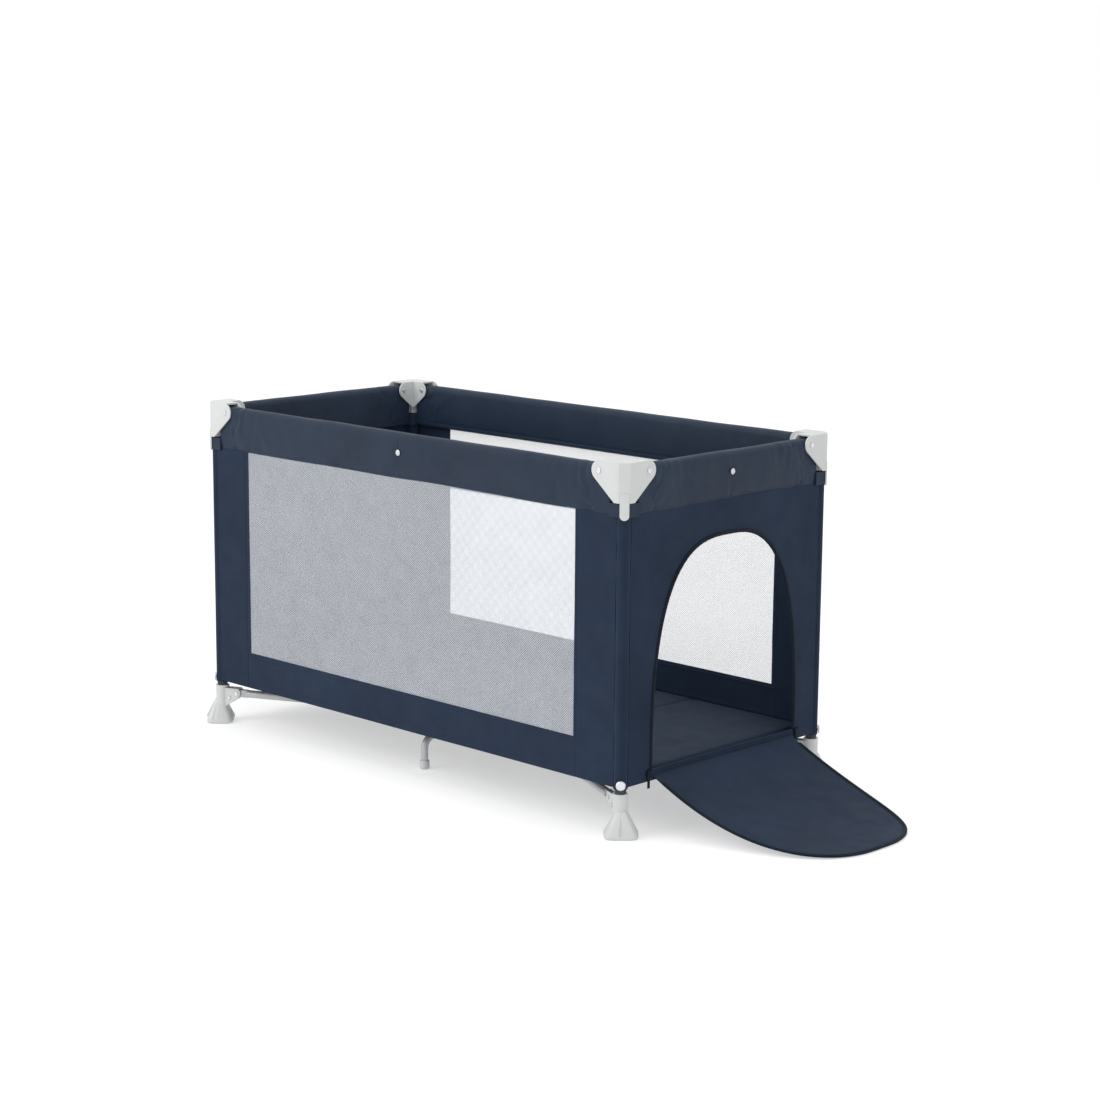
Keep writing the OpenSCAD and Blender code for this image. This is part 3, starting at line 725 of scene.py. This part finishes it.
def cover_profile():
    """Points (out, z) round a rail cover: round top, full sides and a narrow sewn lower edge."""
    radius = COVER_HALF - 2.0 * MM
    centre = COVER_TOP - 1.5 * MM - radius
    narrow = radius - 4.5 * MM
    points = []
    for k in range(19):
        turn = math.pi * k / 18
        points.append((radius * math.cos(turn), centre + radius * math.sin(turn)))
    left = []
    for k in range(1, 16):
        share = k / 16
        bulge = 1.2 * MM * math.sin(math.pi * share)
        out = radius + (narrow - radius) * share + bulge
        left.append((-out, centre + (COVER_LOW + 4 * MM - centre) * share))
    under = [(-narrow + 1 * MM, COVER_LOW + 1.2 * MM), (-narrow + 4 * MM, COVER_LOW + 0.3 * MM)]
    points += left + under + [(0, COVER_LOW + 0.2 * MM)]
    return points + [(-o, z) for o, z in reversed(left + under)]


def half_cover(name, node, body, centre, along, out, half_span, seed):
    """Half a rail cover, from the casting at one end to the middle of the rail."""
    flange = half_span - FLANGE_REACH
    spots = steps(-6 * MM, flange - 4 * MM, 12 * MM)
    spots += [flange - 1.5 * MM, flange + 0.5 * MM, flange + 3 * MM]
    spots += steps(flange + 8 * MM, half_span - TUCK_END, 5 * MM)
    rings = []
    for s in spots:
        tucked = min(1.0, max(0.0, (s - flange + 1.5 * MM) / (4.5 * MM)))
        ring = []
        for o, z in cover_profile():
            reach = min(abs(o), COVER_HALF + (TUCK_HALF - 1.5 * MM - COVER_HALF) * tucked)
            lower = max(0.0, z - TUCK_TOP) * tucked
            place = centre + along * s + out * math.copysign(reach, o)
            ring.append(Vector((place.x, place.y, z - lower)))
        rings.append(ring)
    cover = loft(name, rings, "cover_fabric")

    def held(co):
        tucked_in = (co - centre).dot(along) > flange - 2 * MM
        return tucked_in or co.z > RAIL_Z + 2 * MM or co.z < COVER_LOW + 7 * MM

    puff(cover, 5 * MM, 5 * MM, held)
    smooth = cover.modifiers.new("smooth", "SUBSURF")
    smooth.levels = 1
    apply_modifiers(cover)
    cover.data.shade_smooth()
    gather_cover(cover, centre, along, out, flange, seed)
    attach(cover, body)
    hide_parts(node)
    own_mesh(cover)
    return cover


def gather_cover(cover, centre, along, out, flange, seed):
    """Moves a cover's skin into its gathers, waves and lower seam."""
    normals = [v.normal.copy() for v in cover.data.vertices]
    for vertex, normal in zip(cover.data.vertices, normals):
        place = vertex.co - centre
        s, o, z = place.dot(along), place.dot(out), vertex.co.z
        depth = (COVER_TOP - z) / (COVER_TOP - COVER_LOW)
        tucked = min(1.0, max(0.0, (s - flange + 3 * MM) / (5 * MM)))
        # Gathers fan out from the casting and die away along the rail
        from_end = max(0.0, flange - s)
        wander = 0.8 * soft_noise(from_end * 30, depth * 4, seed + 9)
        fan = from_end * (62 - 26 * depth) + depth * 2.5 + wander
        gather = math.exp(-from_end / GATHER) * (1 - tucked) * min(1.0, from_end / 0.004 + 0.25)
        side = min(1.0, abs(o) / (0.6 * COVER_HALF))
        # The sewn lower edge stays straight
        hem = min(1.0, (1 - depth) / 0.12)
        pleat = soft_noise(fan, depth * 2.6, seed) * 5.0 * MM * gather * side * hem
        world = place.dot(Vector((1, 1, 0)))
        ease = soft_noise(world * 7, z * 16, seed + 5) * 1.3 * MM * (1 - tucked) * hem
        fold = edge_wave(z - COVER_LOW - 12 * MM, 1.3 * MM, 2.6 * MM) * side * (1 - tucked)
        new = vertex.co + normal * (pleat + ease + fold)
        offset = new - centre
        s, o = max(offset.dot(along), -0.8 * MM), offset.dot(out)
        limit = COVER_HALF + COVER_PROUD + (TUCK_HALF - COVER_HALF - COVER_PROUD) * tucked
        o = math.copysign(min(abs(o), limit), o)
        flat = centre + along * s + out * o
        low, high = COVER_LOW - 1.0 * MM, COVER_TOP + 1.5 * MM + (TUCK_TOP - COVER_TOP) * tucked
        vertex.co = Vector((flat.x, flat.y, min(max(new.z, low), high)))


def corner_wrap(corner):
    """The end of the covers' cloth, drawn round the post under the casting."""
    sx, sy = CORNERS[corner]
    # Millimetres from the post's axis; both numbers grow towards the middle of the pen
    outline = [(-16.2, -4), (-13.2, -9.2), (-11, -11), (-9.2, -13.2), (-4, -16.2), (27, -16.4)]
    outline += [(27, 16), (18, 16), (16, 18), (16, 27), (-16.4, 27)]
    dense = []
    for (x0, y0), (x1, y1) in zip(outline, outline[1:] + outline[:1]):
        for t in steps(0, 1, 3 / max(3, math.hypot(x1 - x0, y1 - y0)))[:-1]:
            dense.append((x0 + (x1 - x0) * t, y0 + (y1 - y0) * t))
    rings = []
    low, high = COVER_LOW + 0.4 * MM, SLEEVE_TOP - 2 * MM
    for z in steps(low, high, 3 * MM):
        inset = 1.5 * MM * max(0.0, 1 - (z - low) / (4 * MM))
        ring = []
        for x, y in dense:
            ripple = 0.5 * soft_noise(x * 0.35 + y * 0.2, z * 30, 5.0 + sx + 2 * sy)
            reach = math.hypot(x, y)
            scale = (1 + (ripple - inset / MM) / reach) * MM
            ring.append(Vector((POST[corner].x - sx * x * scale, POST[corner].y - sy * y * scale, z)))
        rings.append(ring)
    piece = loft("corner_wrap_" + corner, rings, "cover_fabric")
    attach(piece, "corner_" + corner)


def rail_covers():
    """Two half covers on each side, each on the half rail that carries it."""
    x, y = Vector((1, 0, 0)), Vector((0, 1, 0))
    for side, sign, short in (("front", -1, "f"), ("back", 1, "b")):
        centre = y * (sign * POST_Y)
        for end, way in (("l", -1), ("r", 1)):
            half_cover(f"cover_{side}_{end}", "cover_" + side, f"long_rail_{short}{end}",
                       centre, x * way, y * sign, POST_X, 80.0 + 3 * sign)
    for side, sign, short in (("left", -1, "l"), ("right", 1, "r")):
        centre = x * (sign * POST_X)
        for end, way in (("f", -1), ("b", 1)):
            half_cover(f"cover_{side}_{end}", "cover_" + side, f"short_rail_{end}{short}",
                       centre, y * way, x * sign, POST_Y, 95.0 + 3 * sign)


# ---- sleeves ----


def sleeve(corner):
    """The cloth sleeve round a post, with a sewn piping beside each wall."""
    sx, sy = CORNERS[corner]
    centre = POST[corner]
    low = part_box("sleeve_" + corner)[0].z
    turns = 64
    # The two walls leave the sleeve beside its outer face
    groove_off, hollow = 0.26, 0.87
    pipings = [math.atan2(sy * 10.2, -sx * 10.2), math.atan2(-sy * 10.2, sx * 10.2)]
    rings = []
    heights = [low, low + 2 * MM, low + 5 * MM] + steps(low + 12 * MM, SLEEVE_TOP, 12 * MM)
    for z in heights:
        ring = []
        for k in range(turns):
            turn = 2 * math.pi * k / turns
            radius = SLEEVE_R - 0.7 * MM
            # The piping stands out, with a groove beside it; both widths are angles in radians
            for piping in pipings:
                apart = abs((turn - piping + math.pi) % (2 * math.pi) - math.pi)
                radius += 0.9 * MM * math.exp(-((apart / 0.10) ** 2))
                radius -= 0.7 * MM * math.exp(-(((apart - groove_off) / 0.07) ** 2))
            cosine, sine = math.cos(turn), math.sin(turn)
            radius += 0.35 * MM * soft_noise(cosine * 3 + z * 6, sine * 3, 17.0 + sx + 2 * sy)
            ring.append(Vector((centre.x + radius * cosine, centre.y + radius * sine, z)))
        rings.append(ring)

    def shrunk(p):
        return Vector((centre.x + (p.x - centre.x) * hollow, centre.y + (p.y - centre.y) * hollow, p.z))

    inner = [[shrunk(p) for p in ring] for ring in reversed(rings)]
    piece = loft("sleeve_cloth_" + corner, rings + inner, "wall_fabric", closed=True)
    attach(piece, "corner_" + corner)
    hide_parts("sleeve_" + corner)
    return piece


# ---- floor and mattress ----


def mattress():
    """The padded board: four sewn panels with soft edges and a piping round the top."""
    low, high = MATTRESS
    half_x, half_y = (high.x - low.x) / 2, (high.y - low.y) / 2
    corner, thick = 24 * MM, high.z - low.z
    edge_round, crown_reach, piping_at = 10 * MM, 0.10, 13 * MM
    mid_z = (low.z + high.z) / 2
    folds = [-half_x / 2, 0.0, half_x / 2]

    def outline_push(u, v):
        """Rounds the corners of the grid square."""
        x, y = u * half_x, v * half_y
        cx, cy = max(0.0, abs(x) - (half_x - corner)), max(0.0, abs(y) - (half_y - corner))
        if cx > 0 and cy > 0:
            reach = max(cx, cy)
            length = math.hypot(cx, cy)
            cx, cy = cx * reach / length, cy * reach / length
            x = math.copysign(half_x - corner + cx, x)
            y = math.copysign(half_y - corner + cy, y)
        return x, y

    def rim_shares(half):
        """Close grid lines along both edges, as shares of half the board."""
        return [-1, 1] + [s * (1 - d * MM / half) for s in (-1, 1) for d in (3, 7, 12, 18, 26)]

    fold_shares = [f / half_x + d * MM / half_x for f in folds for d in (-6, -3, 0, 3, 6)]
    columns = sorted(set(rim_shares(half_x) + list(np.linspace(-0.95, 0.95, 110)) + fold_shares))
    rows = sorted(set(rim_shares(half_y) + list(np.linspace(-0.9, 0.9, 54))))
    top, bottom = [], []
    for v in rows:
        for u in columns:
            x, y = outline_push(u, v)
            edge = min(half_x - abs(x), half_y - abs(y))
            round_off = 1 - (1 - min(1.0, edge / edge_round)) ** 2
            crown = min(1.0, edge / crown_reach)
            groove = sum(edge_wave(x - f, 2.6 * MM, 5 * MM) for f in folds)
            sewn = edge_wave(edge - piping_at, 1.0 * MM, 2.2 * MM)
            soft = 0.7 * MM * soft_noise(x * 6, y * 6, 33.0)
            height = (thick / 2 - 3.2 * MM) * round_off + 2.2 * MM * crown + groove + sewn + soft * crown
            top.append(Vector((x, y, mid_z + max(height, 0.3 * MM))))
            bottom.append(Vector((x, y, mid_z - (thick / 2 - 0.4 * MM) * round_off - 0.2 * MM)))
    count, total = len(columns), len(top)
    faces = two_skins(grid_quads(count, len(rows)), total)
    last = (len(rows) - 1) * count
    rim = [(start + i, start + i + 1) for start in (0, last) for i in range(count - 1)]
    rim += [(start + j, start + j + count) for start in (0, count - 1) for j in range(0, last, count)]
    for a, b in rim:
        faces.append((a, b, b + total, a + total))
    piece = make_object("mattress_cloth", top + bottom, faces, "mattress_fabric")
    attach(piece, "mattress")
    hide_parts("mattress")
    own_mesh(piece)
    return piece


def floor_quarter(corner):
    """A quarter of the cloth floor, which hangs from its arm when the pen folds."""
    sx, sy = CORNERS[corner]
    low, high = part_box("floor_sheet")
    size_x, size_y = high.x, high.y
    mid_z = (low.z + high.z) / 2
    clear = SLEEVE_R + 1.2 * MM

    def place(u, v):
        lip_x, lip_y = max(0.0, u - size_x), max(0.0, v - size_y)
        x, y = sx * min(u, size_x), sy * min(v, size_y)
        dip = 0.5 * MM * soft_noise(x * 5, y * 5, 61.0)
        normal = Vector((-sx * (u >= size_x), -sy * (v >= size_y), lip_x + lip_y < 1 * MM))
        return Vector((x, y, mid_z + dip + max(lip_x, lip_y))), normal.normalized()

    def lanes(size):
        """Grid lines along one side: wide ones, close ones by the post, then the sewn lip."""
        close = steps(size - 50 * MM, size, 3 * MM)
        return steps(0, size - 54 * MM, 14 * MM) + close + [size + 1.5 * MM, size + 5 * MM]

    columns, rows = lanes(size_x), lanes(size_y)
    near = lambda u, v: math.hypot(u - POST_X, v - POST_Y) > clear + 2.5 * MM
    piece = grid_slab("floor_cloth_" + corner, columns, rows, place, 1.0 * MM, "wall_fabric", near)
    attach(piece, "arm_" + corner)
    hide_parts("floor_sheet")
    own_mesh(piece)
    return piece


# ---- moulded and metal pieces ----


def rounded_copy(node, slot, width, segments=3, angle=28, shape=None):
    """The CAD shape with its sharp edges rounded, as moulded or pressed pieces are."""
    mesh = nodes[node].data.copy()
    piece = bpy.data.objects.new(node + "_rounded", mesh)
    bpy.context.scene.collection.objects.link(piece)
    bm = bmesh.new()
    bm.from_mesh(mesh)
    bmesh.ops.remove_doubles(bm, verts=bm.verts, dist=2e-6)
    bmesh.ops.dissolve_limit(bm, angle_limit=math.radians(2), verts=bm.verts, edges=bm.edges)
    bm.to_mesh(mesh)
    bm.free()
    if shape:
        shape(piece)
    bevel = piece.modifiers.new("edges", "BEVEL")
    bevel.width = width
    bevel.segments = segments
    bevel.limit_method = "ANGLE"
    bevel.angle_limit = math.radians(angle)
    bevel.harden_normals = False
    bevel.use_clamp_overlap = True
    apply_modifiers(piece)
    piece.data.shade_smooth()
    piece.data.set_sharp_from_angle(angle=math.radians(40))
    piece.data.materials.clear()
    piece.data.materials.append(MATERIALS[slot])
    return piece


def foot_outline(piece, corner):
    """Turns a foot's round rim into the rounded square of the real one, set along the diagonal."""
    sx, sy = CORNERS[corner]
    outward = Vector((POST[corner].x, POST[corner].y, 0)).normalized()
    diagonal = Vector((sx, sy, 0)).normalized()
    across = Vector((-diagonal.y, diagonal.x, 0))
    axis = Vector((POST[corner].x, POST[corner].y, 0)) + outward * FOOT_SPLAY
    for vertex in piece.data.vertices:
        if vertex.co.z > FOOT_RIM:
            continue
        flat = Vector((vertex.co.x, vertex.co.y, 0)) - axis
        if flat.length < FOOT_COLLAR:
            continue
        radial, side = flat.dot(diagonal), flat.dot(across)
        turn = math.atan2(side, radial)
        power = 5
        square = (abs(math.cos(turn)) ** power + abs(math.sin(turn)) ** power) ** (-1 / power) * 0.96
        moved = axis + diagonal * (radial * square * 0.88) + across * (side * square)
        vertex.co = Vector((moved.x, moved.y, vertex.co.z))


def hard_parts():
    """Rounds the moulded pieces that show, and gives every other hard piece its material."""
    slots = {row["node"]: row["material_slot"] for row in frame["record"]["subparts"]}
    body_of = {n: b for b, members in frame["record"]["behaviour"]["bodies"].items() for n in members}
    for node, piece in nodes.items():
        if node.startswith("casting_"):
            copy = rounded_copy(node, slots[node], 1.1 * MM)
        elif node.startswith("foot_"):
            square = lambda piece: foot_outline(piece, node[-2:])
            copy = rounded_copy(node, slots[node], 1.2 * MM, shape=square)
        elif node.startswith("fasteners_"):
            copy = rounded_copy(node, slots[node], 0.5 * MM, 2)
        else:
            piece.data.materials.clear()
            piece.data.materials.append(MATERIALS[slots[node]])
            continue
        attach(copy, body_of[node])
        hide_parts(node)


# ---- stage ----


def stage():
    """A white studio: a pale floor that glows a little, and three soft lamps."""
    world = bpy.data.worlds.new("studio")
    bpy.context.scene.world = world
    world.use_nodes = True
    world.node_tree.nodes["Background"].inputs["Color"].default_value = (1, 1, 1, 1)
    world.node_tree.nodes["Background"].inputs["Strength"].default_value = 1.0
    bpy.ops.mesh.primitive_plane_add(size=60)
    floor = bpy.context.object
    floor.name = "studio_floor"
    s = Shader("studio_floor")
    s.colour(s.noise(0.8, 2), (0.50, 0.50, 0.502), (0.53, 0.53, 0.53))
    s.set(roughness=0.9, specular_ior_level=0.1, emission_strength=0.5)
    s.shader.inputs["Emission Color"].default_value = (1, 1, 1, 1)
    floor.data.materials.append(s.material)
    for name, place, size, power in (
        ("key", (-1.6, -4.6, 3.4), 3.2, 115),
        ("fill", (4.6, -1.4, 2.6), 2.6, 8),
        ("top", (-0.5, 0.6, 4.6), 3.6, 45),
    ):
        light = bpy.data.lights.new(name, "AREA")
        light.size = size
        light.energy = power
        lamp = bpy.data.objects.new(name, light)
        lamp.location = place
        aim = Vector((0.1, 0, 0.4)) - Vector(place)
        lamp.rotation_euler = aim.to_track_quat("-Z", "Y").to_euler()
        bpy.context.scene.collection.objects.link(lamp)


def camera():
    """The photograph's view: from the front and the door end, a little above the pen."""
    place = Vector((3.8308, -3.8144, 1.4806))
    yaw, pitch, roll = (math.radians(a) for a in (44.076, 10.707, 0.442))
    forward = Vector((-math.sin(yaw) * math.cos(pitch), math.cos(yaw) * math.cos(pitch), -math.sin(pitch)))
    right = Vector((math.cos(yaw), math.sin(yaw), 0))
    up = right.cross(forward)
    turned = right * math.cos(roll) + up * math.sin(roll)
    up = up * math.cos(roll) - right * math.sin(roll)
    data = bpy.data.cameras.new("camera")
    data.sensor_width = 36
    data.lens = 80.33184
    lens = bpy.data.objects.new("camera", data)
    lens.matrix_world = Matrix((
        (turned.x, up.x, -forward.x, place.x),
        (turned.y, up.y, -forward.y, place.y),
        (turned.z, up.z, -forward.z, place.z),
        (0, 0, 0, 1),
    ))
    bpy.context.scene.collection.objects.link(lens)
    bpy.context.scene.camera = lens


camera()
stage()
hard_parts()
for side in ("front", "back"):
    long_wall(side)
    net_window(side)
end_wall()
door_wall()
door_zip()
door_flap()
flap_zip()
rail_covers()
for corner in CORNERS:
    sleeve(corner)
    corner_wrap(corner)
    floor_quarter(corner)
mattress()
bpy.context.scene.view_settings.view_transform = "Standard"
